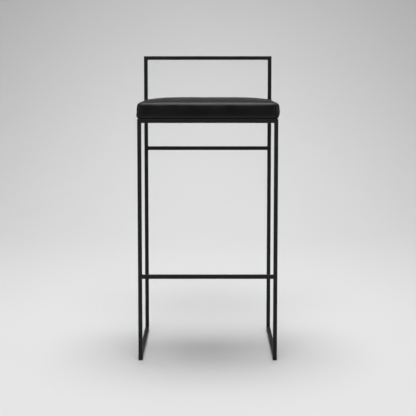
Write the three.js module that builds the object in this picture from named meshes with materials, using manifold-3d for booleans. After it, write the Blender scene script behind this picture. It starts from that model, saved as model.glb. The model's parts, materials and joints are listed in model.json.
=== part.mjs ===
import * as THREE from 'three';
import { mergeVertices } from 'three/addons/utils/BufferGeometryUtils.js';
import Module from 'manifold-3d';

// A bar stool: a welded frame of thin square bar with a footrest and a low open back,
// and a leather cushion screwed on from below.
// Millimetres, +Z up. The front faces -Y. Left and right are as seen from the front.
// The origin is on the floor, under the middle of the stool.

// Frame
const BAR = 12; // side of the solid square bar
const BAR_EDGE_RADIUS = 1;
const BAR_EDGE_STEPS = 2;
const FRAME_WIDTH = 420; // over the legs' outer faces
const FRAME_DEPTH = 430; // from the legs' front faces to the posts' back faces
const FRAME_HEIGHT = 921.5; // from the floor to the top of the backrest bar
const SEAT_RAIL_TOP = 731.5;
const REAR_STRETCHER_TOP = 624.5;
const FOOTREST_TOP = 262.5;

// Tabs welded into the seat frame's corners, which the seat is screwed to
const TAB_LEG = 52; // length along each of the two rails
const TAB_END = 20; // width of the end left by the sloping side
const TAB_THICKNESS = 4;
const TAB_DROP = 2; // below the tops of the rails
const TAB_HOLE = 28; // from each rail to the middle of the hole
const TAB_HOLE_RADIUS = 3.3;

// Glides pressed into the runners' undersides
const GLIDE_HEIGHT = 5.5;
const GLIDE_LENGTH = 28;
const GLIDE_SETBACK = 1; // from the frame's front or back face
const GLIDE_CHAMFER = 1;
const GLIDE_PIN_RADIUS = 2;
const GLIDE_PIN_LENGTH = 6;
const GLIDE_HOLE_RADIUS = 2.1;
const GLIDE_HOLE_DEPTH = 7;

// Cushion
const CUSHION_OVERHANG = 3.5; // past the frame at the front and the sides
const CUSHION_REAR_GAP = 1.75; // to the posts' front faces
const CUSHION_CORNER_RADIUS = 11;
const CUSHION_LIFT = 0.25; // above the rails
const CUSHION_EDGE_HEIGHT = 48.5; // from the underside to the end of the rounded top edge
const CUSHION_EDGE_RADIUS = 8;
const CUSHION_FOOT_RADIUS = 3;
const CROWN_HEIGHT = 9.5; // of the middle over the rounded edge
const CROWN_RUN = 45; // distance inwards over which most of the crown rises
const CROWN_INSETS = [26, 48, 80, 125, 180]; // where the crown's rings lie, from the edge
const COVER_THICKNESS = 1.25;
const COVER_TURN_IN = 20; // width of the cover's hem under the board
const WADDING_THICKNESS = 4;
const LAYER_GAP = 0.25; // between the cushion's layers
const CORNER_STEPS = 5;

// Board, lining and the hardware that holds the seat
const BOARD_THICKNESS = 12;
const LINING_THICKNESS = 0.75;
const LINING_INSET = 17; // from the cushion's sides
const SCREW_RADIUS = 3;
const SCREW_LENGTH = 20;
const SCREW_HEAD_RADIUS = 5.25;
const SCREW_HEAD_HEIGHT = 3;
const SOCKET_RADIUS = 2.3; // to the hexagon's corners
const SOCKET_DEPTH = 2;
const WASHER_RADIUS = 6;
const WASHER_THICKNESS = 1.5;
const TEE_NUT_BORE_RADIUS = 3.1;
const TEE_NUT_BARREL_RADIUS = 3.9;
const TEE_NUT_BARREL_LENGTH = 8;
const TEE_NUT_FLANGE_RADIUS = 9;
const TEE_NUT_FLANGE_THICKNESS = 1.25;
const BOARD_HOLE_RADIUS = 4.2;
const LINING_HOLE_RADIUS = 4.5;
const ROUND_STEPS = 16; // sides of each small round piece

// Places that follow from the dimensions. The bars are placed by their centre lines.
const FRONT = -(FRAME_DEPTH + CUSHION_OVERHANG) / 2 + CUSHION_OVERHANG;
const BACK = FRONT + FRAME_DEPTH;
const SIDE_X = (FRAME_WIDTH - BAR) / 2;
const LEG_Y = FRONT + BAR / 2;
const POST_Y = BACK - BAR / 2;
const RUNNER_Z = GLIDE_HEIGHT + BAR / 2;
const SEAT_RAIL_Z = SEAT_RAIL_TOP - BAR / 2;
const BACKREST_Z = FRAME_HEIGHT - BAR / 2;

const CUSHION_WIDTH = FRAME_WIDTH + 2 * CUSHION_OVERHANG;
const CUSHION_FRONT = FRONT - CUSHION_OVERHANG;
const CUSHION_REAR = BACK - BAR - CUSHION_REAR_GAP;
const CUSHION_DEPTH = CUSHION_REAR - CUSHION_FRONT;
const CUSHION_Y = (CUSHION_REAR + CUSHION_FRONT) / 2;
const CUSHION_BOTTOM = SEAT_RAIL_TOP + CUSHION_LIFT;
const CORE_INSET = COVER_THICKNESS + WADDING_THICKNESS + 2 * LAYER_GAP; // the foam and board's sides
const BOARD_BOTTOM = CUSHION_BOTTOM + COVER_THICKNESS;
const BOARD_TOP = BOARD_BOTTOM + BOARD_THICKNESS;
const TAB_BOTTOM = SEAT_RAIL_TOP - TAB_DROP - TAB_THICKNESS;

// The corners of the seat frame's opening, each with the turn that brings a tab into it.
const OPENING_X = FRAME_WIDTH / 2 - BAR;
const SEAT_CORNERS = [
  { name: 'front_left', x: -OPENING_X, y: FRONT + BAR, inwardX: 1, inwardY: 1, turn: 0 },
  { name: 'front_right', x: OPENING_X, y: FRONT + BAR, inwardX: -1, inwardY: 1, turn: Math.PI / 2 },
  { name: 'rear_right', x: OPENING_X, y: BACK - BAR, inwardX: -1, inwardY: -1, turn: Math.PI },
  { name: 'rear_left', x: -OPENING_X, y: BACK - BAR, inwardX: 1, inwardY: -1, turn: -Math.PI / 2 },
];
const SCREW_PLACES = SEAT_CORNERS.map((corner) => ({
  name: corner.name,
  x: corner.x + corner.inwardX * TAB_HOLE,
  y: corner.y + corner.inwardY * TAB_HOLE,
}));

const BLACK_COAT = { color: 0x232427, roughness: 0.5, metalness: 0.4 };
const BLACK_PLASTIC = { color: 0x0e0e0f, roughness: 0.7, metalness: 0 };
const BLACK_LEATHER = { color: 0x1d1d1f, roughness: 0.45, metalness: 0 };
const BLACK_LINING = { color: 0x161616, roughness: 0.95, metalness: 0 };
const PLYWOOD = { color: 0xc8a777, roughness: 0.7, metalness: 0 };
const FOAM = { color: 0xd8d0b8, roughness: 0.95, metalness: 0 };
const WADDING = { color: 0xefeeea, roughness: 1, metalness: 0 };
const ZINC = { color: 0xa9abae, roughness: 0.35, metalness: 1 };

const wasm = await Module();
wasm.setup();

/** A closed geometry as a solid that can be joined and cut. */
function toSolid(geometry) {
  geometry.deleteAttribute('normal');
  geometry.deleteAttribute('uv');
  const merged = mergeVertices(geometry);
  const mesh = new wasm.Mesh({
    numProp: 3,
    vertProperties: merged.attributes.position.array,
    triVerts: Uint32Array.from(merged.index.array),
  });
  return new wasm.Manifold(mesh);
}

function toGeometry(solid) {
  const mesh = solid.getMesh();
  const geometry = new THREE.BufferGeometry();
  geometry.setAttribute('position', new THREE.Float32BufferAttribute(mesh.vertProperties, 3));
  geometry.setIndex(Array.from(mesh.triVerts));
  geometry.computeVertexNormals();
  return geometry;
}

function cut(geometry, cutters) {
  const solid = cutters.reduce((left, cutter) => left.subtract(toSolid(cutter)), toSolid(geometry));
  return toGeometry(solid);
}

function join(geometry, other) {
  return toGeometry(toSolid(geometry).add(toSolid(other)));
}

function named(name, geometry, look) {
  const mesh = new THREE.Mesh(geometry, new THREE.MeshStandardMaterial(look));
  mesh.name = name;
  return mesh;
}

function roundedRectangle(width, depth, radius) {
  const x = width / 2 - radius;
  const y = depth / 2 - radius;
  const outline = new THREE.Shape();
  outline.absarc(x, y, radius, 0, Math.PI / 2);
  outline.absarc(-x, y, radius, Math.PI / 2, Math.PI);
  outline.absarc(-x, -y, radius, Math.PI, 1.5 * Math.PI);
  outline.absarc(x, -y, radius, 1.5 * Math.PI, 2 * Math.PI);
  return outline;
}

function circle(x, y, radius) {
  const points = [];
  for (let i = 0; i < ROUND_STEPS; i += 1) {
    const angle = 2 * Math.PI * i / ROUND_STEPS;
    points.push(new THREE.Vector2(x + radius * Math.cos(angle), y + radius * Math.sin(angle)));
  }
  return new THREE.Path(points);
}

/** A flat piece with its underside at z = 0. */
function plate(outline, thickness) {
  return new THREE.ExtrudeGeometry(outline, {
    depth: thickness,
    bevelEnabled: false,
    curveSegments: CORNER_STEPS,
  });
}

/** A round piece on the Z axis. Its profile is [radius, height] points, upwards along the outside. */
function turned(profile) {
  const points = profile.map(([radius, height]) => new THREE.Vector2(radius, height));
  const geometry = new THREE.LatheGeometry(points, ROUND_STEPS);
  return geometry.rotateX(Math.PI / 2);
}

// ---- Frame ----

const SQUARE_END = new THREE.Vector2(0, 0);

/**
 * A bar from z = 0 to its length, centred on the Z axis. Each end is cut by a plane through its
 * centre that rises by mitre.x along X and mitre.y along Y: a slope of 1 or -1 is a 45 degree mitre.
 */
function bar(length, startMitre = SQUARE_END, endMitre = SQUARE_END) {
  const section = roundedRectangle(BAR, BAR, BAR_EDGE_RADIUS);
  const geometry = new THREE.ExtrudeGeometry(section, {
    depth: length,
    bevelEnabled: false,
    curveSegments: BAR_EDGE_STEPS,
  });
  const position = geometry.attributes.position;
  for (let i = 0; i < position.count; i += 1) {
    const mitre = position.getZ(i) > length / 2 ? endMitre : startMitre;
    const rise = mitre.x * position.getX(i) + mitre.y * position.getY(i);
    position.setZ(i, position.getZ(i) + rise);
  }
  geometry.computeVertexNormals();
  return geometry;
}

/** How far a glide's middle lies from the centre line of the leg or post above it. */
const GLIDE_REACH = GLIDE_SETBACK + GLIDE_LENGTH / 2 - BAR / 2;

/** A floor runner with its two blind holes. Its length is along Z and its underside faces +Y. */
function runnerGeometry() {
  const length = POST_Y - LEG_Y;
  const whole = bar(length, new THREE.Vector2(0, -1), new THREE.Vector2(0, 1));
  const holes = [GLIDE_REACH, length - GLIDE_REACH].map((place) => {
    const radius = GLIDE_HOLE_RADIUS;
    const hole = new THREE.CylinderGeometry(radius, radius, 2 * GLIDE_HOLE_DEPTH, ROUND_STEPS);
    return hole.translate(0, BAR / 2, place);
  });
  return cut(whole, holes);
}

/** One side of the frame: leg, runner, post and seat rail, in the plane x = 0. */
function sideFrame(side, outward) {
  const leg = named(
    `front_leg_${side}`,
    bar(SEAT_RAIL_Z - RUNNER_Z, new THREE.Vector2(0, 1), new THREE.Vector2(0, -1)),
    BLACK_COAT,
  );
  leg.position.set(0, LEG_Y, RUNNER_Z);

  const post = named(
    `rear_post_${side}`,
    bar(BACKREST_Z - RUNNER_Z, new THREE.Vector2(0, -1), new THREE.Vector2(outward, 0)),
    BLACK_COAT,
  );
  post.position.set(0, POST_Y, RUNNER_Z);

  const runner = named(`floor_runner_${side}`, runnerGeometry(), BLACK_COAT);
  runner.position.set(0, LEG_Y, RUNNER_Z);
  runner.rotation.x = -Math.PI / 2;

  const rail = named(
    `seat_rail_${side}`,
    bar(BACK - BAR - LEG_Y, new THREE.Vector2(0, 1), SQUARE_END),
    BLACK_COAT,
  );
  rail.position.set(0, LEG_Y, SEAT_RAIL_Z);
  rail.rotation.x = -Math.PI / 2;

  const group = new THREE.Group();
  group.position.x = outward * SIDE_X;
  group.add(leg, post, runner, rail);
  return group;
}

/** A bar across the stool, welded between the two side frames. */
function crossBar(name, y, z) {
  const mesh = named(name, bar(FRAME_WIDTH - 2 * BAR), BLACK_COAT);
  mesh.position.set(-OPENING_X, y, z);
  mesh.rotation.y = Math.PI / 2;
  return mesh;
}

/** The bar that joins the tops of the two posts, mitred at both ends. */
function backrestBar() {
  const mesh = named(
    'backrest_bar',
    bar(2 * SIDE_X, new THREE.Vector2(1, 0), new THREE.Vector2(-1, 0)),
    BLACK_COAT,
  );
  mesh.position.set(-SIDE_X, POST_Y, BACKREST_Z);
  mesh.rotation.y = Math.PI / 2;
  return mesh;
}

function tabGeometry() {
  const outline = new THREE.Shape([
    new THREE.Vector2(0, 0),
    new THREE.Vector2(TAB_LEG, 0),
    new THREE.Vector2(TAB_LEG, TAB_END),
    new THREE.Vector2(TAB_END, TAB_LEG),
    new THREE.Vector2(0, TAB_LEG),
  ]);
  outline.holes.push(circle(TAB_HOLE, TAB_HOLE, TAB_HOLE_RADIUS));
  return plate(outline, TAB_THICKNESS);
}

function seatTab(corner) {
  const tab = named(`seat_tab_${corner.name}`, tabGeometry(), BLACK_COAT);
  tab.position.set(corner.x, corner.y, TAB_BOTTOM);
  tab.rotation.z = corner.turn;
  return tab;
}

/** A glide: a pad under the runner with a pin that fills the runner's hole. */
function glide(name, x, y) {
  const half = GLIDE_LENGTH / 2;
  const side = new THREE.Shape([
    new THREE.Vector2(-half + GLIDE_CHAMFER, 0),
    new THREE.Vector2(half - GLIDE_CHAMFER, 0),
    new THREE.Vector2(half, GLIDE_CHAMFER),
    new THREE.Vector2(half, GLIDE_HEIGHT),
    new THREE.Vector2(-half, GLIDE_HEIGHT),
    new THREE.Vector2(-half, GLIDE_CHAMFER),
  ]);
  const pad = new THREE.ExtrudeGeometry(side, { depth: BAR, bevelEnabled: false });
  pad.translate(0, 0, -BAR / 2);
  pad.rotateX(Math.PI / 2);
  pad.rotateZ(Math.PI / 2);
  const pinBottom = GLIDE_HEIGHT / 2;
  const pin = turned([
    [0, pinBottom],
    [GLIDE_PIN_RADIUS, pinBottom],
    [GLIDE_PIN_RADIUS, GLIDE_HEIGHT + GLIDE_PIN_LENGTH],
    [0, GLIDE_HEIGHT + GLIDE_PIN_LENGTH],
  ]);
  const mesh = named(name, join(pad, pin), BLACK_PLASTIC);
  mesh.position.set(x, y, 0);
  return mesh;
}

function frame() {
  const group = new THREE.Group();
  group.add(sideFrame('left', -1), sideFrame('right', 1));
  group.add(crossBar('seat_rail_front', LEG_Y, SEAT_RAIL_Z));
  group.add(crossBar('seat_rail_rear', POST_Y, SEAT_RAIL_Z));
  group.add(crossBar('rear_stretcher', POST_Y, REAR_STRETCHER_TOP - BAR / 2));
  group.add(crossBar('footrest_bar', LEG_Y, FOOTREST_TOP - BAR / 2));
  group.add(backrestBar());
  for (const corner of SEAT_CORNERS) {
    group.add(seatTab(corner));
  }
  for (const [side, x] of [['left', -SIDE_X], ['right', SIDE_X]]) {
    group.add(glide(`glide_front_${side}`, x, LEG_Y + GLIDE_REACH));
    group.add(glide(`glide_rear_${side}`, x, POST_Y - GLIDE_REACH));
  }
  return group;
}

// ---- Cushion ----

/** The cushion's corner radius in from its sides by the inset: it is rounder towards the middle. */
function cornerRadius(inset) {
  return Math.min(CUSHION_CORNER_RADIUS + inset / 2, 0.9 * (CUSHION_DEPTH / 2 - inset));
}

/** A ring of points around the cushion, in from its sides by the inset, anticlockwise from above. */
function cushionRing(inset, height) {
  const halfWidth = CUSHION_WIDTH / 2 - inset;
  const halfDepth = CUSHION_DEPTH / 2 - inset;
  const radius = cornerRadius(inset);
  const ring = [];
  for (let corner = 0; corner < 4; corner += 1) {
    const centreX = (corner === 0 || corner === 3 ? 1 : -1) * (halfWidth - radius);
    const centreY = (corner < 2 ? 1 : -1) * (halfDepth - radius);
    for (let step = 0; step <= CORNER_STEPS; step += 1) {
      const angle = (corner + step / CORNER_STEPS) * Math.PI / 2;
      ring.push([centreX + radius * Math.cos(angle), centreY + radius * Math.sin(angle), height]);
    }
  }
  return ring;
}

/** The closed surface through the rings, in order, with a point in the middle of each end. */
function loft(rings) {
  const count = rings[0].length;
  const firstPole = rings.length * count;
  const lastRing = (rings.length - 1) * count;
  const points = [...rings.flat(), [0, 0, rings[0][0][2]], [0, 0, rings.at(-1)[0][2]]];
  const triangles = [];
  for (let i = 0; i < count; i += 1) {
    const next = (i + 1) % count;
    triangles.push(firstPole, i, next);
    for (let start = 0; start < lastRing; start += count) {
      triangles.push(start + i, start + count + i, start + count + next);
      triangles.push(start + i, start + count + next, start + next);
    }
    triangles.push(firstPole + 1, lastRing + next, lastRing + i);
  }
  const geometry = new THREE.BufferGeometry();
  geometry.setAttribute('position', new THREE.Float32BufferAttribute(points.flat(), 3));
  geometry.setIndex(triangles);
  geometry.computeVertexNormals();
  return geometry;
}

/** The rings over the crown and down over the rounded top edge, for a layer this deep in the cushion. */
function crownRings(depth) {
  const edgeTop = CUSHION_BOTTOM + CUSHION_EDGE_HEIGHT;
  const radius = CUSHION_EDGE_RADIUS - Math.min(depth, CUSHION_EDGE_RADIUS - 1);
  const crown = [...CROWN_INSETS].reverse().map((inset) => {
    const rise = CROWN_HEIGHT * (1 - Math.exp((CUSHION_EDGE_RADIUS - inset) / CROWN_RUN));
    return cushionRing(inset, edgeTop + rise - depth);
  });
  const edge = [90, 60, 30, 0].map((degrees) => {
    const angle = THREE.MathUtils.degToRad(degrees);
    const inset = depth + radius * (1 - Math.cos(angle));
    return cushionRing(inset, edgeTop - depth - radius * (1 - Math.sin(angle)));
  });
  return [...crown, ...edge];
}

/** The leather skin: outside from the crown down, under the board, and back up along its inside. */
function coverGeometry() {
  const inner = crownRings(COVER_THICKNESS).reverse();
  return loft([
    ...crownRings(0),
    cushionRing(0, CUSHION_BOTTOM + CUSHION_FOOT_RADIUS),
    cushionRing(CUSHION_FOOT_RADIUS / 3, CUSHION_BOTTOM + CUSHION_FOOT_RADIUS / 3),
    cushionRing(CUSHION_FOOT_RADIUS, CUSHION_BOTTOM),
    cushionRing(COVER_TURN_IN, CUSHION_BOTTOM),
    cushionRing(COVER_TURN_IN, BOARD_BOTTOM),
    cushionRing(CUSHION_FOOT_RADIUS, BOARD_BOTTOM),
    cushionRing(COVER_THICKNESS, BOARD_BOTTOM + CUSHION_FOOT_RADIUS),
    ...inner,
  ]);
}

/** The wadding: a skin over the foam and down the board's sides, open underneath. */
function waddingGeometry() {
  const outside = COVER_THICKNESS + LAYER_GAP;
  const inside = outside + WADDING_THICKNESS;
  const bottom = BOARD_BOTTOM + CUSHION_FOOT_RADIUS;
  return loft([
    ...crownRings(outside),
    cushionRing(outside, bottom),
    cushionRing(inside, bottom),
    ...crownRings(inside).reverse(),
  ]);
}

function foamGeometry() {
  return loft([...crownRings(CORE_INSET), cushionRing(CORE_INSET, BOARD_TOP + LAYER_GAP)]);
}

/** A flat piece of the cushion's outline, in from its sides by the inset. */
function seatSheet(inset, thickness) {
  const width = CUSHION_WIDTH - 2 * inset;
  const depth = CUSHION_DEPTH - 2 * inset;
  return plate(roundedRectangle(width, depth, cornerRadius(inset)), thickness);
}

/** The plywood board, with a stepped hole for each tee nut. */
function boardGeometry() {
  const step = BOARD_THICKNESS - TEE_NUT_FLANGE_THICKNESS;
  const holes = SCREW_PLACES.map((place) => {
    const hole = turned([
      [0, -1],
      [BOARD_HOLE_RADIUS, -1],
      [BOARD_HOLE_RADIUS, step],
      [TEE_NUT_FLANGE_RADIUS + LAYER_GAP, step],
      [TEE_NUT_FLANGE_RADIUS + LAYER_GAP, BOARD_THICKNESS + 1],
      [0, BOARD_THICKNESS + 1],
    ]);
    return hole.translate(place.x, place.y - CUSHION_Y, 0);
  });
  return cut(seatSheet(CORE_INSET, BOARD_THICKNESS), holes);
}

/** The cloth under the board, with a hole for each screw. */
function liningGeometry() {
  const holes = SCREW_PLACES.map((place) => {
    const hole = turned([
      [0, -1],
      [LINING_HOLE_RADIUS, -1],
      [LINING_HOLE_RADIUS, LINING_THICKNESS + 1],
      [0, LINING_THICKNESS + 1],
    ]);
    return hole.translate(place.x, place.y - CUSHION_Y, 0);
  });
  return cut(seatSheet(LINING_INSET, LINING_THICKNESS), holes);
}

function cushion() {
  const cover = named('seat_cover', coverGeometry(), BLACK_LEATHER);
  const wadding = named('seat_wadding', waddingGeometry(), WADDING);
  const foam = named('seat_foam', foamGeometry(), FOAM);
  const board = named('seat_board', boardGeometry(), PLYWOOD);
  board.position.z = BOARD_BOTTOM;
  const lining = named('dust_cloth', liningGeometry(), BLACK_LINING);
  lining.position.z = CUSHION_BOTTOM - LINING_THICKNESS;
  const group = new THREE.Group();
  group.position.y = CUSHION_Y;
  group.add(cover, wadding, foam, board, lining);
  return group;
}

// ---- Seat hardware ----

/** A button-head screw with its shank up and a hexagon socket in its head. Its head sits on z = 0. */
function screwGeometry() {
  const head = turned([
    [0, -SCREW_HEAD_HEIGHT],
    [SCREW_HEAD_RADIUS / 2, -SCREW_HEAD_HEIGHT],
    [SCREW_HEAD_RADIUS * 0.85, -SCREW_HEAD_HEIGHT / 2],
    [SCREW_HEAD_RADIUS, 0],
    [SCREW_RADIUS, 0],
    [SCREW_RADIUS, SCREW_LENGTH - 1],
    [SCREW_RADIUS - 0.75, SCREW_LENGTH],
    [0, SCREW_LENGTH],
  ]);
  const socket = new THREE.CylinderGeometry(SOCKET_RADIUS, SOCKET_RADIUS, 2 * SOCKET_DEPTH, 6);
  socket.rotateX(Math.PI / 2);
  socket.translate(0, 0, -SCREW_HEAD_HEIGHT);
  return cut(head, [socket]);
}

function washerGeometry() {
  return turned([
    [TAB_HOLE_RADIUS, 0],
    [WASHER_RADIUS, 0],
    [WASHER_RADIUS, WASHER_THICKNESS],
    [TAB_HOLE_RADIUS, WASHER_THICKNESS],
    [TAB_HOLE_RADIUS, 0],
  ]);
}

/** A tee nut with its flange on top, hanging from z = 0. */
function teeNutGeometry() {
  return turned([
    [TEE_NUT_BORE_RADIUS, -TEE_NUT_BARREL_LENGTH],
    [TEE_NUT_BARREL_RADIUS, -TEE_NUT_BARREL_LENGTH],
    [TEE_NUT_BARREL_RADIUS, -TEE_NUT_FLANGE_THICKNESS],
    [TEE_NUT_FLANGE_RADIUS, -TEE_NUT_FLANGE_THICKNESS],
    [TEE_NUT_FLANGE_RADIUS, 0],
    [TEE_NUT_BORE_RADIUS, 0],
    [TEE_NUT_BORE_RADIUS, -TEE_NUT_BARREL_LENGTH],
  ]);
}

function seatFixing(place) {
  const washer = named(`washer_${place.name}`, washerGeometry(), ZINC);
  washer.position.z = TAB_BOTTOM - WASHER_THICKNESS;
  const screw = named(`seat_screw_${place.name}`, screwGeometry(), ZINC);
  screw.position.z = TAB_BOTTOM - WASHER_THICKNESS;
  const teeNut = named(`tee_nut_${place.name}`, teeNutGeometry(), ZINC);
  teeNut.position.z = BOARD_TOP;
  const group = new THREE.Group();
  group.position.set(place.x, place.y, 0);
  group.add(washer, screw, teeNut);
  return group;
}

const stool = new THREE.Group();
stool.add(frame(), cushion());
for (const place of SCREW_PLACES) {
  stool.add(seatFixing(place));
}

export default stool;
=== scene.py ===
import json
import math
import random

import bmesh
import bpy
import numpy as np
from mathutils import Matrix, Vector, noise


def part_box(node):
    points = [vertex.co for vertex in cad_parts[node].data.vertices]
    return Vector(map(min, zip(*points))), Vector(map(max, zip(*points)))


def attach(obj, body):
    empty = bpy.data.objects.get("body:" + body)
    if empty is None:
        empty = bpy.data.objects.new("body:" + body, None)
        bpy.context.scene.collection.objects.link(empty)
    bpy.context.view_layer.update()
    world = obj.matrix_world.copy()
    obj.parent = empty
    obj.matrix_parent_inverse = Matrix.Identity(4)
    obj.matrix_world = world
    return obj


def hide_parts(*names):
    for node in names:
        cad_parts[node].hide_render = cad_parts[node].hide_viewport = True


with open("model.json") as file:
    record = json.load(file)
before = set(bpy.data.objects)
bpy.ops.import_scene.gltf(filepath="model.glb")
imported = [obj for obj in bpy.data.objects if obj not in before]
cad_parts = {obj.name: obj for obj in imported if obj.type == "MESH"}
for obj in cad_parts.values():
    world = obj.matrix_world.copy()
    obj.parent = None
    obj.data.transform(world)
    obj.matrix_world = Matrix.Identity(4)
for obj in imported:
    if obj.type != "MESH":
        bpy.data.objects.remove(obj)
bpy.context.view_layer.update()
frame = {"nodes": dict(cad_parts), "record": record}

# A bar stool: black powder-coated frame of thin square bar, and a black leather cushion.
# Metres, +Z up, with the front facing -Y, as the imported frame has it.

MM = 0.001
ROOT = "root"

# Cushion, as its CAD solid has it
COVER_LOW, COVER_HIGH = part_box("seat_cover")
SEAT_MIDDLE_Y = (COVER_LOW.y + COVER_HIGH.y) / 2
HALF_WIDTH = (COVER_HIGH.x - COVER_LOW.x) / 2
HALF_DEPTH = (COVER_HIGH.y - COVER_LOW.y) / 2
SEAT_BOTTOM = COVER_LOW.z
BOARD_LOW, BOARD_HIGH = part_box("seat_board")

# Cushion's cross-section: a crown, a rounded edge, a side that swells, and a foot rolled under
CORNER_RADIUS = 13 * MM
EDGE_TOP = SEAT_BOTTOM + 48.5 * MM
EDGE_RADIUS = 12 * MM
EDGE_INSET = 1.4 * MM
CROWN_HEIGHT = 9.3 * MM
CROWN_RUN = 40 * MM
WIDEST = SEAT_BOTTOM + 20 * MM
FOOT_RADIUS = 4.5 * MM
FOOT_INSET = 2.2 * MM
FOOT_RISE = 0.6 * MM  # of the rolled foot over the seat rail, which the hem then comes down to
PULL_IN = 1.2 * MM  # of the sides' middles, between the corners
LEAN = 1.3 * MM  # of the padding to the right, over its foot
FILLING_FROM = SEAT_BOTTOM + 4 * MM  # below this it follows the board, and neither leans nor pulls in
FILLING_OVER = 18 * MM  # the height over which it reaches its full lean and pull

# Its layers, each with its thickness or with how deep it starts inside the leather's face
LEATHER = 1.25 * MM
HEM = 20 * MM
WADDING_DEPTH = 3.2 * MM
WADDING = 3.2 * MM
WADDING_LUMP = 0.5 * MM
WADDING_LUMP_SIZE = 14 * MM
WADDING_END = 3 * MM  # over the board's underside
FOAM_DEPTH = 7 * MM
FOAM_GAP = 0.25 * MM  # over the board

# Pleats where the leather is folded round the corners, on the front and back faces
PLEAT_FROM_SIDE = 12.5 * MM
PLEAT_WIDTH = 1.7 * MM
PLEAT_DEPTH = 3.2 * MM
PLEAT_LIP = 2.2 * MM
PLEAT_LIP_WIDTH = 7 * MM
PLEAT_TOP = 0.7  # the share of its depth that it has on the top
PLEAT_SLANT = 0.25  # how much it turns towards the middle as it runs in over the top
PLEAT_FADE = 9 * MM  # how far it runs in
PLEAT_START = 3 * FOOT_RADIUS  # the height over which it deepens from nothing at the foot

# Leather's cloth simulation, and how much of its result is kept
SIM_FRAMES = 20
SWELL_ROUNDS = 40
PUCKER_GAIN = 0.25
SWELL_SHARE = 0.1
MOST_MOVE = 0.9 * MM

# Folds over the top, which fade in from its edges
FOLDS_FROM = 4 * MM
FOLDS_OVER = 26 * MM

# Lining under the seat
LINING_HEM = 10 * MM
LINING_THICKNESS = 0.3 * MM
LINING_CELL = 4 * MM
LINING_RISE = 14 * MM  # how far in from its edge the cloth lifts off the hem
LINING_SLACK = 30 * MM  # and how far in it starts to hang unevenly
LINING_WAVE = 70 * MM
SCREW_HOLE_RADIUS = 5 * MM
STAPLE_PITCH = 46 * MM
STAPLE_FROM_EDGE = 6 * MM
STAPLE_REACH = 4.8 * MM  # from its middle to a leg
STAPLE_STAND = 0.35 * MM  # of its crown below the cloth
STAPLE_DIP = 0.9 * MM  # of its legs into the cloth
STAPLE_WIRE_WIDTH, STAPLE_WIRE_THICKNESS = 1.1 * MM, 0.44 * MM
STAPLE_STRAY_ALONG, STAPLE_STRAY_OFF, STAPLE_STRAY_TURN = 3 * MM, 1 * MM, 0.16


# ---- Materials ----

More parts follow.
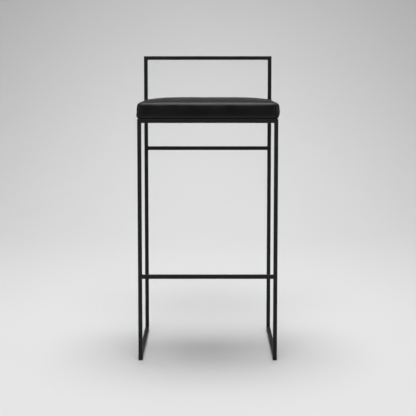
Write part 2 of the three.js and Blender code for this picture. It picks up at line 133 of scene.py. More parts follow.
class Look:
    """A node material that is built up with short calls."""

    def __init__(self, name):
        self.material = bpy.data.materials.new(name)
        self.material.use_nodes = True
        self.tree = self.material.node_tree
        self.tree.nodes.clear()
        self.shader = self.add("ShaderNodeBsdfPrincipled")
        output = self.add("ShaderNodeOutputMaterial")
        self.link(self.shader.outputs["BSDF"], output.inputs["Surface"])
        self.place = self.add("ShaderNodeTexCoord").outputs["Object"]

    def add(self, kind, **settings):
        node = self.tree.nodes.new(kind)
        for key, value in settings.items():
            setattr(node, key, value)
        return node

    def link(self, source, target):
        self.tree.links.new(source, target)

    def stretched(self, scale):
        """The object's coordinates, times a scale for each axis."""
        mapping = self.add("ShaderNodeMapping")
        mapping.inputs["Scale"].default_value = scale
        self.link(self.place, mapping.inputs["Vector"])
        return mapping.outputs["Vector"]

    def wandering(self, size, reach):
        """The object's coordinates, pushed about by noise so that cells lose their regular shape."""
        wobble = self.add("ShaderNodeTexNoise")
        wobble.inputs["Scale"].default_value = 1 / size
        self.link(self.place, wobble.inputs["Vector"])
        push = self.add("ShaderNodeVectorMath", operation="SCALE")
        push.inputs["Scale"].default_value = reach
        self.link(wobble.outputs["Color"], push.inputs[0])
        total = self.add("ShaderNodeVectorMath", operation="ADD")
        self.link(self.place, total.inputs[0])
        self.link(push.outputs["Vector"], total.inputs[1])
        return total.outputs["Vector"]

    def noise(self, size, detail=3, where=None, roughness=0.5, distortion=0.0):
        """Noise from 0 to 1 with features of about this size, in metres."""
        node = self.add("ShaderNodeTexNoise")
        node.inputs["Scale"].default_value = 1 / size
        node.inputs["Detail"].default_value = detail
        node.inputs["Roughness"].default_value = roughness
        node.inputs["Distortion"].default_value = distortion
        self.link(where or self.place, node.inputs["Vector"])
        return node.outputs["Fac"]

    def cells(self, size, where=None, feature="F1", smoothness=0.5):
        """The distance to the nearest of cells of about this size, as a share of the size."""
        node = self.add("ShaderNodeTexVoronoi", feature=feature)
        node.inputs["Scale"].default_value = 1 / size
        if feature == "SMOOTH_F1":
            node.inputs["Smoothness"].default_value = smoothness
        self.link(where or self.place, node.inputs["Vector"])
        return node.outputs["Distance"]

    def ramp(self, value, low, high, bottom=0.0, top=1.0):
        """The value from low to high becomes bottom to top, smoothly, and stays there outside."""
        node = self.add("ShaderNodeMapRange", interpolation_type="SMOOTHSTEP")
        limits = {"From Min": low, "From Max": high, "To Min": bottom, "To Max": top}
        for name, number in limits.items():
            node.inputs[name].default_value = number
        self.link(value, node.inputs["Value"])
        return node.outputs["Result"]

    def maths(self, operation, left, right=None):
        node = self.add("ShaderNodeMath", operation=operation)
        for socket, value in zip(node.inputs, (left, right)):
            if isinstance(value, (int, float)):
                socket.default_value = value
            elif value is not None:
                self.link(value, socket)
        return node.outputs["Value"]

    def blend(self, mask, first, second):
        """The first colour where the mask is 0 and the second where it is 1."""
        node = self.add("ShaderNodeMix", data_type="RGBA")
        self.link(mask, node.inputs[0])
        for socket, colour in zip(node.inputs[6:8], (first, second)):
            if isinstance(colour, tuple):
                socket.default_value = (*colour, 1)
            else:
                self.link(colour, socket)
        return node.outputs[2]

    def bump(self, height, depth, below=None):
        """Raises the surface by up to depth, in metres, over any bump below."""
        node = self.add("ShaderNodeBump")
        node.inputs["Strength"].default_value = 1
        node.inputs["Distance"].default_value = depth
        self.link(height, node.inputs["Height"])
        if below is not None:
            self.link(below, node.inputs["Normal"])
        return node.outputs["Normal"]

    def finish(self, colour, roughness, normal, **sockets):
        """Joins colour, roughness and normal to the shader, and sets its other sockets."""
        self.link(colour, self.shader.inputs["Base Color"])
        self.link(roughness, self.shader.inputs["Roughness"])
        self.link(normal, self.shader.inputs["Normal"])
        for name, value in sockets.items():
            self.shader.inputs[name.replace("_", " ")].default_value = value
        return self.material


def powder_coat():
    """Satin black powder coat: the orange peel of the spray, and a little cloudiness in its gloss."""
    look = Look("black_powder_coat")
    peel = look.noise(1.1 * MM, detail=4)
    cloud = look.noise(60 * MM, detail=3)
    colour = look.blend(cloud, (0.007, 0.007, 0.0073), (0.011, 0.011, 0.0113))
    uneven = look.maths("ADD", look.maths("MULTIPLY", cloud, 0.6), peel)
    roughness = look.ramp(uneven, 0.3, 1.2, 0.42, 0.58)
    normal = look.bump(peel, 0.06 * MM)
    return look.finish(colour, roughness, normal, Specular_IOR_Level=0.25)


def glide_plastic():
    """Black nylon, moulded with a fine grain and scuffed along the floor."""
    look = Look("glide_plastic")
    grain = look.noise(0.5 * MM, detail=5)
    scuff = look.ramp(look.noise(4 * MM, where=look.stretched((1, 0.2, 1))), 0.5, 0.75)
    colour = look.blend(scuff, (0.004, 0.004, 0.004), (0.012, 0.012, 0.012))
    roughness = look.ramp(scuff, 0, 1, 0.6, 0.85)
    return look.finish(colour, roughness, look.bump(grain, 0.05 * MM))


def leather():
    """Black finished leather: pebbled grain, pores, fine creases and an uneven sheen."""
    look = Look("black_leather")
    uneven_place = look.wandering(3 * MM, 0.8 * MM)
    pebbles = look.cells(1.3 * MM, where=uneven_place, feature="SMOOTH_F1", smoothness=0.35)
    crease_noise = look.noise(7 * MM, detail=5, where=look.stretched((0.45, 1, 1)), distortion=1.2)
    creases = look.ramp(crease_noise, 0.44, 0.5)
    pores = look.ramp(look.noise(0.35 * MM, detail=2), 0.35, 0.6)
    patches = look.noise(45 * MM, detail=4)

    colour = look.blend(patches, (0.002, 0.002, 0.0021), (0.004, 0.0038, 0.0038))
    uneven = look.maths("ADD", patches, look.maths("MULTIPLY", pebbles, 0.5))
    roughness = look.ramp(uneven, 0.35, 1.1, 0.38, 0.5)
    normal = look.bump(pores, 0.015 * MM)
    normal = look.bump(look.maths("MULTIPLY", pebbles, -1), 0.12 * MM, below=normal)
    normal = look.bump(creases, 0.03 * MM, below=normal)
    return look.finish(colour, roughness, normal, Specular_IOR_Level=0.26)


def lining_cloth():
    """Black non-woven lining, with its grid of bonded points and matted fibres."""
    look = Look("lining_cloth")
    points = look.ramp(look.cells(1.6 * MM), 0.12, 0.3)
    fibres = look.noise(0.9 * MM, detail=6, where=look.stretched((1, 0.3, 1)), distortion=2)
    colour = look.blend(fibres, (0.006, 0.006, 0.0065), (0.02, 0.02, 0.021))
    normal = look.bump(points, 0.1 * MM, below=look.bump(fibres, 0.12 * MM))
    return look.finish(colour, look.ramp(fibres, 0.3, 0.7, 0.85, 0.97), normal, Sheen_Weight=0.2)


def plywood():
    """Birch plywood: grain on its faces, and plies of alternate grain at its edges."""
    look = Look("plywood")
    height = look.add("ShaderNodeSeparateXYZ")
    look.link(look.place, height.inputs["Vector"])
    plies = look.ramp(look.maths("PINGPONG", height.outputs["Z"], 1.3 * MM), 0.5 * MM, 0.8 * MM)
    rings = look.noise(5 * MM, detail=6, where=look.stretched((0.06, 1, 1)), distortion=0.6)
    grain = look.blend(look.ramp(rings, 0.35, 0.65), (0.46, 0.30, 0.16), (0.62, 0.45, 0.27))
    colour = look.blend(look.maths("MULTIPLY", plies, 0.4), grain, (0.33, 0.2, 0.1))
    roughness = look.ramp(look.noise(90 * MM, detail=2), 0.3, 0.7, 0.55, 0.75)
    return look.finish(colour, roughness, look.bump(rings, 0.08 * MM))


def foam():
    """Cut upholstery foam: open cells, in a yellow that has aged unevenly."""
    look = Look("foam")
    cells = look.cells(1.1 * MM)
    pits = look.ramp(cells, 0.15, 0.55)
    ageing = look.noise(80 * MM, detail=3)
    colour = look.blend(ageing, (0.66, 0.58, 0.40), (0.74, 0.69, 0.54))
    return look.finish(colour, look.ramp(cells, 0, 1, 0.85, 1), look.bump(pits, 0.4 * MM))


def wadding():
    """White polyester wadding: a mat of long fibres."""
    look = Look("wadding")
    fibres = look.noise(2.2 * MM, detail=8, distortion=3, roughness=0.7)
    tufts = look.noise(18 * MM, detail=4)
    colour = look.blend(fibres, (0.70, 0.69, 0.66), (0.86, 0.86, 0.84))
    normal = look.bump(fibres, 0.6 * MM, below=look.bump(tufts, 1.2 * MM))
    return look.finish(colour, look.ramp(fibres, 0, 1, 0.9, 1), normal, Sheen_Weight=0.4)


def zinc():
    """Bright zinc plating, with the fine drag lines of a tumbled fastener."""
    look = Look("zinc_plate")
    drag = look.noise(0.6 * MM, detail=4, where=look.stretched((1, 1, 0.25)))
    tint = look.noise(6 * MM, detail=2)
    colour = look.blend(tint, (0.50, 0.51, 0.53), (0.62, 0.61, 0.58))
    normal = look.bump(drag, 0.02 * MM)
    return look.finish(colour, look.ramp(drag, 0.3, 0.7, 0.25, 0.42), normal, Metallic=1.0)


def backdrop_paper():
    """Matt off-white paper, very slightly mottled."""
    look = Look("backdrop_paper")
    mottle = look.noise(0.4, detail=3)
    colour = look.blend(mottle, (0.795, 0.795, 0.795), (0.805, 0.805, 0.805))
    normal = look.bump(look.noise(2 * MM), 0.05 * MM)
    return look.finish(colour, look.ramp(mottle, 0, 1, 0.88, 0.92), normal, Specular_IOR_Level=0.2)


LOOKS = {
    "black_powder_coat": powder_coat(),
    "glide_plastic": glide_plastic(),
    "black_leather": leather(),
    "lining": lining_cloth(),
    "plywood": plywood(),
    "foam": foam(),
    "wadding": wadding(),
    "zinc_plate": zinc(),
}


# ---- Meshes ----

def new_object(name, points, faces, look, smooth=True):
    mesh = bpy.data.meshes.new(name)
    mesh.from_pydata([tuple(p) for p in points], [], faces)
    mesh.validate()
    if smooth:
        mesh.shade_smooth()
    mesh.materials.append(look)
    made = bpy.data.objects.new(name, mesh)
    bpy.context.scene.collection.objects.link(made)
    return made


def new_piece(name, points, faces, slot, smooth=True):
    """A piece of the stool, in the finish of one of the record's slots."""
    piece = new_object(name, points, faces, LOOKS[slot], smooth)
    return piece


def apply_modifiers(target):
    """Turns the object's mesh into what its modifiers show."""
    graph = bpy.context.evaluated_depsgraph_get()
    shown = bpy.data.meshes.new_from_object(target.evaluated_get(graph), depsgraph=graph)
    old = target.data
    target.modifiers.clear()
    target.data = shown
    bpy.data.meshes.remove(old)


def subdivide(target):
    modifier = target.modifiers.new("Subdivision", "SUBSURF")
    modifier.levels = modifier.render_levels = 1
    apply_modifiers(target)


def thicken(target, thickness):
    """Gives a surface a thickness, inwards."""
    shell = target.modifiers.new("Thickness", "SOLIDIFY")
    shell.thickness = thickness
    shell.offset = -1
    apply_modifiers(target)


def weld_doubles(target):
    work = bmesh.new()
    work.from_mesh(target.data)
    bmesh.ops.remove_doubles(work, verts=work.verts, dist=0.01 * MM)
    bmesh.ops.recalc_face_normals(work, faces=work.faces)
    work.to_mesh(target.data)
    work.free()


def read_points(target):
    points = np.empty(len(target.data.vertices) * 3)
    target.data.vertices.foreach_get("co", points)
    return points.reshape(-1, 3)


def write_points(target, points):
    target.data.vertices.foreach_set("co", np.asarray(points, float).ravel())
    target.data.update()


def smoothstep(value):
    value = np.clip(value, 0, 1)
    return value * value * (3 - 2 * value)


class RimmedGrid:
    """A rectangular grid of points, with rings of points that carry on from its rim."""

    def __init__(self, xs, ys):
        self.columns, self.rows = len(xs), len(ys)
        self.x, self.y = (line.ravel() for line in np.meshgrid(xs, ys, indexing="ij"))
        last_x, last_y = self.columns - 1, self.rows - 1
        around = [(i, 0) for i in range(last_x)]
        around += [(last_x, j) for j in range(last_y)]
        around += [(i, last_y) for i in range(last_x, 0, -1)]
        around += [(0, j) for j in range(last_y, 0, -1)]
        self.rim = np.array([i * self.rows + j for i, j in around])

    def faces(self, rings):
        """The faces of the grid, then those that join its rim to this many rings, one after another."""
        found = []
        for i in range(self.columns - 1):
            for j in range(self.rows - 1):
                a = i * self.rows + j
                found.append((a, a + self.rows, a + self.rows + 1, a + 1))
        around, first = len(self.rim), self.columns * self.rows
        levels = [list(self.rim)]
        levels += [list(range(first + k * around, first + (k + 1) * around)) for k in range(rings)]
        for upper, lower in zip(levels, levels[1:]):
            for k in range(around):
                n = (k + 1) % around
                found.append((upper[k], lower[k], lower[n], upper[n]))
        return found

    def underside(self, offset):
        """Faces of a second grid, facing down, whose points start at this offset."""
        return [tuple(offset + v for v in reversed(face)) for face in self.faces(0)]


# ---- Cushion ----

CELL = 6 * MM  # of its mesh, before the subdivision
EDGE_STEPS = 6
SIDE_ROWS = 9
FOOT_STEPS = 3
HEM_ROWS = 4
SMALLEST_CORNER = 0.5 * MM  # so that the hem, which is wider than the corners, isn't turned inside out


def cushion_line(half, depth):
    """Places across the cushion from side to side, closer together over its rounded edges."""
    start, run = EDGE_INSET + depth, EDGE_RADIUS - depth
    turn = np.linspace(0, math.pi / 2, EDGE_STEPS + 1)[:-1]
    edge = half - start - run * (1 - np.cos(turn))
    inner = half - start - run
    cells = round(2 * inner / CELL)
    return np.concatenate([-edge, np.linspace(-inner, inner, cells + 1), edge[::-1]])


def crown_height(inset):
    """How high the crown stands over the rounded edge's top, this far in from the cushion's side."""
    return CROWN_HEIGHT * (1 - np.exp(-np.maximum(inset - EDGE_INSET - EDGE_RADIUS, 0) / CROWN_RUN))


def folds(x, y, length, width, start):
    """Noise stretched into folds that run from side to side, of about this length and width."""
    return noise.noise(Vector((x / length, y / width, 0)) + Vector(start))


def soft_fold(x, y):
    """The shallow folds of leather that has been sat on: long ones, with fainter short ones."""
    long_fold = folds(x, y, 240 * MM, 60 * MM, (3.1, 0, 0))
    short_fold = folds(x, y, 90 * MM, 26 * MM, (0, 5.7, 7))
    return 0.7 * MM * long_fold + 0.2 * MM * short_fold


class CushionLayer:
    """The surface at a depth inside the cushion, as a rimmed grid: crown, edge and sides."""

    def __init__(self, depth):
        self.depth = depth
        self.grid = RimmedGrid(cushion_line(HALF_WIDTH, depth), cushion_line(HALF_DEPTH, depth))
        x, y = self.grid.x, self.grid.y
        self.side = np.stack([np.sign(x), np.sign(y)])
        centre = np.stack([np.full(len(x), HALF_WIDTH), np.full(len(y), HALF_DEPTH)]) - CORNER_RADIUS
        self.reach = np.maximum(np.abs(np.stack([x, y])) - centre, 0)
        self.straight = np.abs(np.stack([x, y])) - self.reach
        length = np.maximum(np.hypot(*self.reach), 1e-9)
        self.out = self.reach / length
        self.inset = np.minimum(HALF_WIDTH - np.abs(x), HALF_DEPTH - np.abs(y))
        self.levels = [self.top()]

    def points(self, radius, height, which):
        """Points this far from the corners' centres, at this height."""
        out = self.out[:, which]
        radius = np.where(out.min(axis=0) > 0, np.maximum(radius, SMALLEST_CORNER), radius)
        plan = self.side[:, which] * (self.straight[:, which] + out * radius)
        filling = smoothstep((height - FILLING_FROM) / FILLING_OVER)
        middle = 1 - (plan[::-1] / np.array([[HALF_DEPTH], [HALF_WIDTH]])) ** 2
        plan -= PULL_IN * filling * middle * plan / np.array([[HALF_WIDTH], [HALF_DEPTH]])
        plan[0] += LEAN * filling
        return np.stack([plan[0], plan[1] + SEAT_MIDDLE_Y, height + np.zeros(plan.shape[1])], axis=1)

    def top(self):
        """The crown, with its rounded edge down to where the sides start."""
        start, run = EDGE_INSET + self.depth, EDGE_RADIUS - self.depth
        rest = np.clip(run - (self.inset - start), 0, run)
        height = EDGE_TOP - self.depth - (run - np.sqrt(run**2 - rest**2)) + crown_height(self.inset)
        return self.points(self.reach.max(0), height, slice(None))

    def add_ring(self, inset, height):
        """Adds a ring this far in from the CAD cushion's sides, at this height."""
        self.rim_radius = CORNER_RADIUS - inset
        self.levels.append(self.points(self.rim_radius, height, self.grid.rim))

    def add_side(self, lowest):
        """Rings down the side, which swells at its middle, to this height."""
        highest = EDGE_TOP - EDGE_RADIUS
        for height in np.linspace(highest, lowest, SIDE_ROWS + 1)[1:]:
            if height > WIDEST:
                inset = EDGE_INSET * ((height - WIDEST) / (highest - WIDEST)) ** 2
            else:
                inset = FOOT_INSET * ((WIDEST - height) / (WIDEST - SEAT_BOTTOM - FOOT_RADIUS)) ** 4
            self.add_ring(self.depth + inset, height)

    def mesh(self, closed=False):
        """Its points and faces, closed if wanted by a flat underside."""
        points, faces = np.concatenate(self.levels), self.grid.faces(len(self.levels) - 1)
        if closed:
            height = self.levels[-1][0, 2]
            radius = self.reach.max(0)
            radius[self.grid.rim] = self.rim_radius
            under = self.points(radius, height, slice(None))
            faces += self.grid.underside(len(points))
            points = np.concatenate([points, under])
        return points, faces


def neighbour_mean(values, pairs, count, rounds):
    """Averages values with those of the neighbouring points, this many times."""
    degree = np.bincount(pairs.ravel(), minlength=count)[:, None]
    for _ in range(rounds):
        total = np.zeros_like(values)
        np.add.at(total, pairs[:, 0], values[pairs[:, 1]])
        np.add.at(total, pairs[:, 1], values[pairs[:, 0]])
        values = (values + total / degree) / 2
    return values


def settle_leather(cover, held):
    """Lets the leather settle over its padding, and keeps a share of its puckers and its swell."""
    scene = bpy.context.scene
    start = read_points(cover)
    group = cover.vertex_groups.new(name="held")
    group.add(list(held), 1.0, "REPLACE")
    cloth = cover.modifiers.new("Cloth", "CLOTH")
    settings = cloth.settings
    settings.quality = 6
    settings.mass = 0.4
    settings.tension_stiffness = settings.compression_stiffness = 40
    settings.shear_stiffness = 15
    settings.bending_stiffness = 1.5
    settings.use_pressure = True
    settings.uniform_pressure_force = 0.6
    settings.shrink_min = -0.012
    settings.vertex_group_mass = "held"
    settings.effector_weights.gravity = 0
    cloth.collision_settings.use_collision = False
    cloth.point_cache.frame_start, cloth.point_cache.frame_end = 1, SIM_FRAMES
    for frame_number in range(1, SIM_FRAMES + 1):
        scene.frame_set(frame_number)
    graph = bpy.context.evaluated_depsgraph_get()
    shown = cover.evaluated_get(graph).to_mesh()
    settled = np.empty(len(shown.vertices) * 3)
    shown.vertices.foreach_get("co", settled)
    cover.evaluated_get(graph).to_mesh_clear()
    cover.modifiers.clear()
    cover.vertex_groups.clear()
    scene.frame_set(1)

    moved = settled.reshape(-1, 3) - start
    pairs = np.array([edge.vertices[:] for edge in cover.data.edges])
    swell = neighbour_mean(moved, pairs, len(start), SWELL_ROUNDS)
    kept = (moved - swell) * PUCKER_GAIN + swell * SWELL_SHARE
    size = np.linalg.norm(kept, axis=1, keepdims=True)
    kept *= MOST_MOVE / np.maximum(size, MOST_MOVE)
    write_points(cover, start + kept)


def fold_top(cover):
    """Lays the long folds over the top, fading out at its edges."""
    points = read_points(cover)
    across = HALF_WIDTH - np.abs(points[:, 0])
    along = HALF_DEPTH - np.abs(points[:, 1] - SEAT_MIDDLE_Y)
    on_top = points[:, 2] > EDGE_TOP - EDGE_RADIUS
    share = smoothstep((np.minimum(across, along) - FOLDS_FROM) / FOLDS_OVER) * on_top
    for index in np.flatnonzero(share):
        points[index, 2] += share[index] * soft_fold(points[index, 0], points[index, 1])
    write_points(cover, points)


def pleat_corners(layer):
    """Presses a pleat into a layer beside each corner, with the folded lip outside it."""
    points = read_points(layer)
    across = HALF_WIDTH - np.abs(points[:, 0])
    along = HALF_DEPTH - np.abs(points[:, 1] - SEAT_MIDDLE_Y)
    way = np.sign(points[:, 1] - SEAT_MIDDLE_Y)
    over_top = np.maximum(along - EDGE_RADIUS / 2, 0)
    beside = across - PLEAT_FROM_SIDE - PLEAT_SLANT * over_top
    groove = PLEAT_DEPTH * np.exp(-((beside / PLEAT_WIDTH) ** 2))
    lip = PLEAT_LIP * smoothstep(1 + beside / PLEAT_LIP_WIDTH) * smoothstep(-beside / PLEAT_WIDTH)
    press = (groove - lip) * np.exp(-((over_top / PLEAT_FADE) ** 2))
    on_face = along < EDGE_RADIUS
    steep = smoothstep((EDGE_TOP - points[:, 2]) / EDGE_RADIUS)
    started = smoothstep((points[:, 2] - SEAT_BOTTOM) / PLEAT_START)
    points[:, 1] -= way * press * on_face * steep * started
    points[:, 2] -= press * (1 - steep) * PLEAT_TOP
    write_points(layer, points)


def seat_cover():
    """The leather, from its crown to the hem turned in under the board."""
    layer = CushionLayer(0)
    side_end = SEAT_BOTTOM + FOOT_RISE + FOOT_RADIUS
    layer.add_side(side_end)
    for turn in np.linspace(0, math.pi / 2, FOOT_STEPS + 1)[1:]:
        inset = FOOT_INSET + FOOT_RADIUS * (1 - math.cos(turn))
        layer.add_ring(inset, side_end - FOOT_RADIUS * math.sin(turn))
    foot = FOOT_INSET + FOOT_RADIUS
    for share in np.linspace(0, 1, HEM_ROWS + 1)[1:]:
        layer.add_ring(foot + share * (HEM - foot), SEAT_BOTTOM + FOOT_RISE * (1 - share) ** 2)
    points, faces = layer.mesh()
    cover = new_piece("leather_cover", points, faces, "black_leather")
    under = (FOOT_STEPS + HEM_ROWS) * len(layer.grid.rim)
    settle_leather(cover, range(len(points) - under, len(points)))
    subdivide(cover)
    fold_top(cover)
    pleat_corners(cover)
    thicken(cover, LEATHER)
    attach(cover, ROOT)
    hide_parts("seat_cover")


def seat_wadding():
    """The mat between the leather and the foam, a little lumpy."""
    layer = CushionLayer(WADDING_DEPTH)
    layer.add_side(BOARD_LOW.z + WADDING_END)
    points, faces = layer.mesh()
    mat = new_piece("wadding_mat", points, faces, "wadding")
    subdivide(mat)
    points = read_points(mat)
    for index, point in enumerate(points):
        points[index, 2] += WADDING_LUMP * noise.noise(Vector(point) / WADDING_LUMP_SIZE)
    write_points(mat, points)
    pleat_corners(mat)
    thicken(mat, WADDING)
    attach(mat, ROOT)
    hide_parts("seat_wadding")


def seat_foam():
    """The crowned block of foam, flat where it lies on the board."""
    layer = CushionLayer(FOAM_DEPTH)
    layer.add_side(BOARD_HIGH.z + FOAM_GAP)
    points, faces = layer.mesh(closed=True)
    block = new_piece("foam_block", points, faces, "foam")
    weld_doubles(block)
    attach(block, ROOT)
    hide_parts("seat_foam")


# ---- Lining under the seat ----

def swept_strip(path, across, half_width, half_thickness):
    """Points and faces of a flat wire along a path, with its width along one direction."""
    points, faces = [], []
    for here, before, after in zip(path, path[:1] + path[:-1], path[1:] + path[-1:]):
        along = (after - before).normalized()
        up = along.cross(across).normalized()
        for side, lift in ((-1, -1), (1, -1), (1, 1), (-1, 1)):
            points.append(here + across * side * half_width + up * lift * half_thickness)
    for k in range(len(path) - 1):
        for n in range(4):
            a, b = 4 * k + n, 4 * k + (n + 1) % 4
            faces.append((a, b, b + 4, a + 4))
    last = 4 * (len(path) - 1)
    faces.append((3, 2, 1, 0))
    faces.append((last, last + 1, last + 2, last + 3))
    return points, faces


class MeshPile:
    """Many small shells, gathered into one mesh."""

    def __init__(self):
        self.points, self.faces = [], []

    def add(self, points, faces):
        start = len(self.points)
        self.points += points
        self.faces += [tuple(start + v for v in face) for face in faces]


def lining_sheet():
    """Black cloth stapled over the hem's edge and the board, with its own edge turned in."""
    low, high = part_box("dust_cloth")
    half = Vector(((high.x - low.x) / 2, (high.y - low.y) / 2))
    middle_y = (low.y + high.y) / 2
    lines = [np.linspace(-size, size, round(2 * size / LINING_CELL) + 1) for size in half]
    grid = RimmedGrid(*lines)
    base = low.z + LINING_THICKNESS / 2
    hug = high.z - low.z - LINING_THICKNESS

    points = []
    for x, y in zip(grid.x, grid.y):
        inset = min(half.x - abs(x), half.y - abs(y))
        slack = smoothstep(inset / LINING_SLACK) * noise.noise(Vector((x, y, 0)) / LINING_WAVE)
        rise = (0.35 + 0.3 * slack) * smoothstep(inset / LINING_RISE)
        points.append((x, y + middle_y, base + hug * rise))

    # Its edge: how far outwards each ring is, and its share of the way up to the board
    turned = ((0.12 * MM, 0.5), (0, 1), (-LINING_HEM / 2, 1), (-LINING_HEM, 1))
    for outward, share in turned:
        for x, y in zip(grid.x[grid.rim], grid.y[grid.rim]):
            ring_x, ring_y = x * (1 + outward / half.x), y * (1 + outward / half.y)
            points.append((ring_x, ring_y + middle_y, base + hug * share))
    faces = [tuple(reversed(face)) for face in grid.faces(len(turned))]
    cloth = new_piece("lining_sheet", points, faces, "lining")
    open_for_screws(cloth)
    thicken(cloth, LINING_THICKNESS)
    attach(cloth, ROOT)
    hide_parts("dust_cloth")
    staple_lining(half, middle_y, low.z)


def open_for_screws(cloth):
    """Cuts a hole in the cloth round each screw, a little wider than its shank."""
    work = bmesh.new()
    work.from_mesh(cloth.data)
    for corner in ("front_left", "front_right", "rear_left", "rear_right"):
        low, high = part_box(f"seat_screw_{corner}")
        axis = (low + high) / 2
        near = [v for v in work.verts if (v.co.xy - axis.xy).length < SCREW_HOLE_RADIUS]
        bmesh.ops.delete(work, geom=near, context="VERTS")
    work.to_mesh(cloth.data)
    work.free()


def staple_lining(half, middle_y, cloth_low):
    """Staples round the lining, a little out of line as they are when shot by hand."""
    draw = random.Random(4)
    pile = MeshPile()
    up = Vector((0, 0, 1))
    leg = ((1, STAPLE_DIP), (0.97, STAPLE_DIP / 4), (0.88, -STAPLE_STAND))
    profile = [(-share, lift) for share, lift in leg]
    profile += [(0, -STAPLE_STAND), *reversed(leg)]
    for size, other, turned in ((half.x, half.y, False), (half.y, half.x, True)):
        count = round(2 * (size - STAPLE_PITCH / 2) / STAPLE_PITCH)
        for k in range(count + 1):
            for side in (-1, 1):
                along = (k / count * 2 - 1) * (size - STAPLE_PITCH / 2)
                along += draw.uniform(-STAPLE_STRAY_ALONG, STAPLE_STRAY_ALONG)
                off = side * (other - STAPLE_FROM_EDGE)
                off += draw.uniform(-STAPLE_STRAY_OFF, STAPLE_STRAY_OFF)
                x, y = (off, along) if turned else (along, off)
                angle = draw.uniform(-STAPLE_STRAY_TURN, STAPLE_STRAY_TURN)
                angle += math.pi / 2 if turned else 0
                way = Vector((math.cos(angle), math.sin(angle), 0))
                start = Vector((x, y + middle_y, cloth_low))
                path = [start + way * share * STAPLE_REACH + up * lift for share, lift in profile]
                wire = (STAPLE_WIRE_WIDTH / 2, STAPLE_WIRE_THICKNESS / 2)
                pile.add(*swept_strip(path, way.cross(up), *wire))
    staples = new_piece("lining_staples", pile.points, pile.faces, "zinc_plate", smooth=False)
    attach(staples, ROOT)


# ---- Frame ----

BEAD = 1.8 * MM
BEAD_RIPPLES = 7
BEAD_RIPPLE_SHARE = 0.1
BEAD_HOLLOW = 0.12
BEAD_SINK = 0.2 * MM  # into the bars
BEAD_SHORTFALL = 2.4 * MM  # of its length against the bar's width
SHARP_ANGLE = 50  # degrees


def weld_bead(corner, along, out_a, out_b, length):
    """Points and faces of a fillet weld in an inner corner, rippled along its length."""
    sections, arc = BEAD_RIPPLES * 4 + 1, 4
    points, faces = [], []
    for k in range(sections):
        share = k / (sections - 1)
        ripple = 1 + BEAD_RIPPLE_SHARE * math.cos(share * BEAD_RIPPLES * 2 * math.pi)
        taper = math.sqrt(max(1 - (2 * share - 1) ** 8, 0.05))
        size = BEAD * ripple * taper
        here = corner + along * (share - 0.5) * length
        points.append(here - (out_a + out_b) * BEAD_SINK)
        for n in range(arc + 1):
            t = n / arc
            hollow = BEAD_HOLLOW * math.sin(math.pi * t)
            points.append(here + (out_a * (1 - t - hollow) + out_b * (t - hollow)) * size)
    around = arc + 2
    for k in range(sections - 1):
        for n in range(around):
            a, b = k * around + n, k * around + (n + 1) % around
            faces.append((a, b, b + around, a + around))
    faces.append(tuple(range(around))[::-1])
    faces.append(tuple(range((sections - 1) * around, sections * around)))
    return points, faces


def frame_welds():
    """Fillet welds in the inner corners of the frame's joints."""
    pile = MeshPile()
    leg_low, leg_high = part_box("front_leg_right")
    post_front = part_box("rear_post_right")[0].y
    rail_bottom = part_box("seat_rail_right")[0].z
    runner_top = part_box("floor_runner_right")[1].z
    length = leg_high.x - leg_low.x - BEAD_SHORTFALL
    sideways, back, up = Vector((1, 0, 0)), Vector((0, 1, 0)), Vector((0, 0, 1))

    def bead(corner, along, out_a, out_b):
        pile.add(*weld_bead(Vector(corner), along, out_a, out_b, length))

    crossing = ("seat_rail_front", "footrest_bar", "rear_stretcher", "seat_rail_rear", "backrest_bar")
    for side in (-1, 1):
        inward = Vector((-side, 0, 0))
        for name in crossing:
            low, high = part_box(name)
            middle_y = (low.y + high.y) / 2
            bead((side * leg_low.x, middle_y, low.z), back, inward, -up)
            if name in ("footrest_bar", "rear_stretcher", "seat_rail_rear"):
                bead((side * leg_low.x, middle_y, high.z), back, inward, up)
        middle_x = side * (leg_low.x + leg_high.x) / 2
        bead((middle_x, leg_high.y, rail_bottom), sideways, back, -up)
        bead((middle_x, post_front, rail_bottom), sideways, -back, -up)
        bead((middle_x, leg_high.y, runner_top), sideways, back, up)
        bead((middle_x, post_front, runner_top), sideways, -back, up)
    welds = new_piece("frame_welds", pile.points, pile.faces, "black_powder_coat")
    weld_doubles(welds)
    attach(welds, ROOT)


def smoothing():
    """A node group that shades a mesh smooth except over its sharp edges."""
    group = bpy.data.node_groups.new("smooth_but_sharp_edges", "GeometryNodeTree")
    group.interface.new_socket("Geometry", in_out="INPUT", socket_type="NodeSocketGeometry")
    group.interface.new_socket("Geometry", in_out="OUTPUT", socket_type="NodeSocketGeometry")
    first, last = group.nodes.new("NodeGroupInput"), group.nodes.new("NodeGroupOutput")
    faces, edges = (group.nodes.new("GeometryNodeSetShadeSmooth") for _ in range(2))
    angle = group.nodes.new("GeometryNodeInputMeshEdgeAngle")
    gentle = group.nodes.new("FunctionNodeCompare")
    gentle.operation = "LESS_EQUAL"
    gentle.inputs["B"].default_value = math.radians(SHARP_ANGLE)
    faces.domain, edges.domain = "FACE", "EDGE"
    group.links.new(first.outputs[0], faces.inputs["Geometry"])
    group.links.new(faces.outputs["Geometry"], edges.inputs["Geometry"])
    group.links.new(angle.outputs["Unsigned Angle"], gentle.inputs["A"])
    group.links.new(gentle.outputs["Result"], edges.inputs["Shade Smooth"])
    group.links.new(edges.outputs["Geometry"], last.inputs[0])
    return group


def finish_cad_nodes():
    """Gives every CAD node its material, and smooth shading over its rounded edges."""
    group = smoothing()
    for part in frame["record"]["subparts"]:
        node = frame["nodes"][part["node"]]
        node.data.materials.clear()
        node.data.materials.append(LOOKS[part["material_slot"]])
        node.modifiers.new("Smoothing", "NODES").node_group = group


# ---- Studio ----

FLOOR_FRONT, FLOOR_BACK = -4.5, 2.5
SWEEP_RADIUS, SWEEP_STEPS = 4.5, 24
BACKDROP_HEIGHT, BACKDROP_HALF_WIDTH = 2.6, 3.0

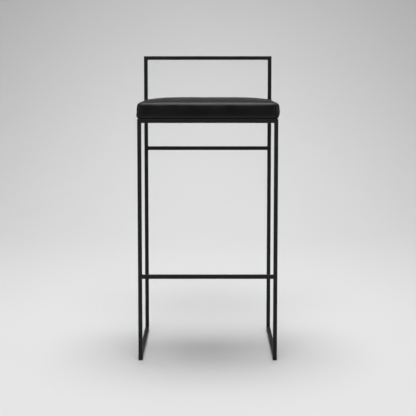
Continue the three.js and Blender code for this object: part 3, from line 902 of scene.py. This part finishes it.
CAMERA_RIGHT = 0.9 * MM
CAMERA_HEIGHT = 0.874
CAMERA_DISTANCE = 3.67  # from the stool's front
CAMERA_TILT = 6.35  # degrees down
CAMERA_LENS, CAMERA_SENSOR = 106.75, 36  # millimetres


def backdrop():
    """A floor of paper that sweeps up behind the stool."""
    profile = [(FLOOR_FRONT, 0), (FLOOR_BACK, 0)]
    whole_turn = math.acos(1 - BACKDROP_HEIGHT / SWEEP_RADIUS)
    for turn in np.linspace(0, whole_turn, SWEEP_STEPS + 1)[1:]:
        back, rise = math.sin(turn), 1 - math.cos(turn)
        profile.append((FLOOR_BACK + SWEEP_RADIUS * back, SWEEP_RADIUS * rise))
    points = [(side * BACKDROP_HALF_WIDTH, y, z) for y, z in profile for side in (-1, 1)]
    faces = [(2 * k, 2 * k + 1, 2 * k + 3, 2 * k + 2) for k in range(len(profile) - 1)]
    floor = new_object("backdrop", points, faces, backdrop_paper())
    return floor


def soft_light(name, place, aim, size, power, only=None, never=None):
    """A round soft light, which lights everything, only one object, or all but one."""
    data = bpy.data.lights.new(name, "AREA")
    data.shape = "DISK"
    data.size = size
    data.energy = power
    light = bpy.data.objects.new(name, data)
    light.location = place
    light.rotation_euler = (Vector(aim) - Vector(place)).to_track_quat("-Z", "Y").to_euler()
    light.visible_camera = False
    bpy.context.scene.collection.objects.link(light)
    if only or never:
        receivers = bpy.data.collections.new(f"receivers_of_{name}")
        receivers.objects.link(only or never)
        receivers.collection_objects[0].light_linking.link_state = "INCLUDE" if only else "EXCLUDE"
        light.light_linking.receiver_collection = receivers


def lights(floor):
    """Overhead and front lights. Some are for the floor or the stool only, to match the photo's contrast."""
    soft_light("above", (0, 0.4, 3.3), (0, 0.4, 0), size=1.8, power=55.8)
    soft_light("ceiling", (0, 2, 7), (0, 2, 0), size=12, power=157.6)
    soft_light("behind", (0, 2.6, 3.2), (0, 4.2, 0), size=1.5, power=36.5, only=floor)
    soft_light("backdrop", (0, 3.4, 2.6), (0, 5.5, 0.6), size=1, power=9.4, only=floor)
    soft_light("front", (0, -3, 3.6), (0, -1.5, 0), size=2.5, power=96.8, only=floor)
    soft_light("front_of_stool", (0, -1.7, 3.6), (0, 0, 0.7), size=2, power=70, never=floor)
    for side in (-1, 1):
        place = (side * 2.4, -1.2, 1.4)
        soft_light("beside_stool", place, (0, 0, 0.6), size=1.2, power=18, never=floor)


def surroundings():
    """The grey past the backdrop's edges, which only the camera sees."""
    world = bpy.data.worlds.new("studio")
    bpy.context.scene.world = world
    world.use_nodes = True
    background = world.node_tree.nodes["Background"]
    background.inputs["Color"].default_value = (1, 1, 1, 1)
    background.inputs["Strength"].default_value = 0.6
    world.cycles_visibility.glossy = False
    world.cycles_visibility.diffuse = False


def camera():
    """The photo's camera, straight in front, a little above the seat and tilted down."""
    frame_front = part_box("front_leg_left")[0].y
    data = bpy.data.cameras.new("camera")
    data.sensor_width = CAMERA_SENSOR
    data.lens = CAMERA_LENS
    made = bpy.data.objects.new("camera", data)
    made.location = (CAMERA_RIGHT, frame_front - CAMERA_DISTANCE, CAMERA_HEIGHT)
    made.rotation_euler = (math.radians(90 - CAMERA_TILT), 0, 0)
    bpy.context.scene.collection.objects.link(made)
    bpy.context.scene.camera = made


camera()
finish_cad_nodes()
seat_cover()
seat_wadding()
seat_foam()
lining_sheet()
frame_welds()
lights(backdrop())
surroundings()
bpy.context.scene.view_settings.view_transform = "Standard"
